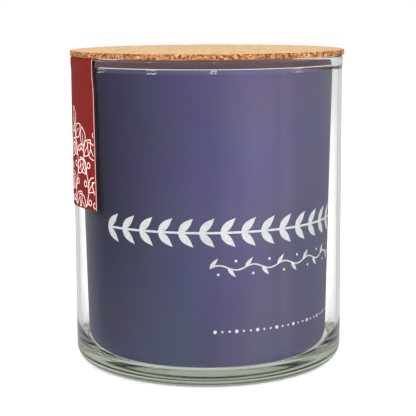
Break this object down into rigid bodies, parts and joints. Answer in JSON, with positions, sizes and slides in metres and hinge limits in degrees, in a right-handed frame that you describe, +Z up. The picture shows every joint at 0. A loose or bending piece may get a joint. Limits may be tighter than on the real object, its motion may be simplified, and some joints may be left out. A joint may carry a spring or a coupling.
{
  "type": "bulb-growing kit in a lidded glass jar",
  "caption": "Clear glass cylinder jar with a loose cork disc lid, a rolled card sleeve inside, a paper tag folded over the rim, and a dry flower bulb standing on pressed growing medium.",
  "frame": {"origin": "on the jar's axis, on the surface that the base ring stands on", "axes": "+Z up along the jar's axis; the front of the kit faces -Y and the paper tag hangs on the -X side"},
  "size_m": [0.1158, 0.1158, 0.132],
  "materials": {
    "jar_glass": "clear, faintly green where thick",
    "lid_cork": "sanded agglomerated cork, matt",
    "sleeve_card": "printed card, satin outside, plain inside",
    "tag_paper": "printed paper, matt",
    "medium_coir": "pressed fibrous coir, matt",
    "bulb_tunic": "dry papery bulb tunic"
  },
  "bodies": {
    "root": {"glass_jar": "jar_glass", "cork_lid": "lid_cork", "card_sleeve": "sleeve_card", "paper_tag": "tag_paper", "coir_disc": "medium_coir", "narcissus_bulb": "bulb_tunic"}
  },
  "joints": []
}
